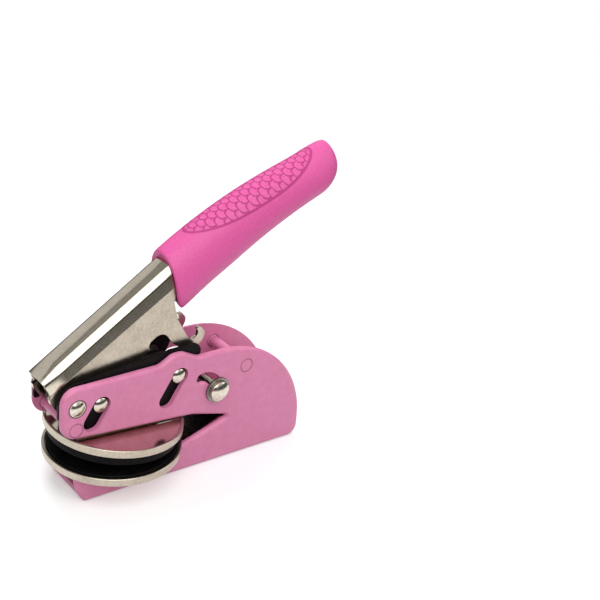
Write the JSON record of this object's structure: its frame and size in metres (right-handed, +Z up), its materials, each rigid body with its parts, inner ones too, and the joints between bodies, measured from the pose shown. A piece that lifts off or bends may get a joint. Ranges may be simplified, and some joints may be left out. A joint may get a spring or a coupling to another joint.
{
  "type": "seal embosser",
  "caption": "Hand-held lever embosser: folded steel frame, long moulded grip lever, sprung die clip that slides in under the jaw, and a swinging lock pin.",
  "frame": {"origin": "on the resting plane, directly below the centre of the dies", "axes": "+X to the rear, where the grip points; +Y to the left of someone facing the front; +Z up, the direction in which the upper jaw opens"},
  "size_m": [0.1179, 0.048, 0.1071],
  "materials": {
    "frame_paint": "satin pink enamel on folded sheet steel",
    "nickel_steel": "warm polished nickel plate on pressed steel",
    "pin_steel": "plated turned steel",
    "spring_steel": "bright hard-drawn steel",
    "black_steel": "black enamel on sheet steel",
    "die_plastic": "black hard moulded plastic",
    "black_plastic": "black moulded plastic",
    "grip_vinyl": "hot pink soft vinyl, semi-gloss"
  },
  "bodies": {
    "frame": {"frame_channel": "frame_paint", "front_spacer": "frame_paint", "rear_spacer": "frame_paint", "pivot_pin": "pin_steel", "return_spring": "spring_steel"},
    "lever": {"lever_shell": "nickel_steel", "grip": "grip_vinyl", "lever_plug": "black_plastic", "lever_washers": "pin_steel"},
    "press": {"press_carrier": "black_steel", "front_guide_pin": "pin_steel", "rear_guide_pin": "pin_steel", "pin_clips": "spring_steel", "press_button": "pin_steel"},
    "clip": {"lower_disc": "nickel_steel", "lower_rail": "nickel_steel", "lower_die": "die_plastic", "lower_rivets": "pin_steel", "clip_spring": "spring_steel"},
    "upper_jaw": {"upper_disc": "nickel_steel", "upper_rail": "nickel_steel", "upper_die": "die_plastic", "upper_rivets": "pin_steel"},
    "lock": {"lock_pin": "pin_steel", "lock_knobs": "pin_steel", "lock_washers": "pin_steel"}
  },
  "joints": [
    {"name": "handle_pivot", "type": "hinge", "parent": "frame", "child": "lever", "pos_m": [-0.0202, 0, 0.0376], "axis": [0, 1, 0], "range_deg": [0, 23], "stiffness_Nm_per_rad": 1, "springref_deg": -20.05, "deforming": ["return_spring"]},
    {"name": "press_travel", "type": "slide", "parent": "frame", "child": "press", "axis": [-0.515, 0, -0.8572], "range_m": [0, 0.0037]},
    {"name": "clip_slide", "type": "slide", "parent": "frame", "child": "clip", "axis": [-1, 0, 0], "range_m": [0, 0.095]},
    {"name": "upper_close", "type": "hinge", "parent": "clip", "child": "upper_jaw", "pos_m": [0.043, 0, 0.017], "axis": [0, -1, 0], "range_deg": [0, 4.4], "deforming": ["clip_spring"]},
    {"name": "lock_swing", "type": "hinge", "parent": "frame", "child": "lock", "pos_m": [0.029, 0, 0.03], "axis": [0, -1, 0], "range_deg": [0, 98]}
  ],
  "couplings": [
    {"joint": "press_travel", "follows": "handle_pivot", "m_per_rad": 0.009217},
    {"joint": "upper_close", "follows": "handle_pivot", "ratio": 0.1913}
  ]
}
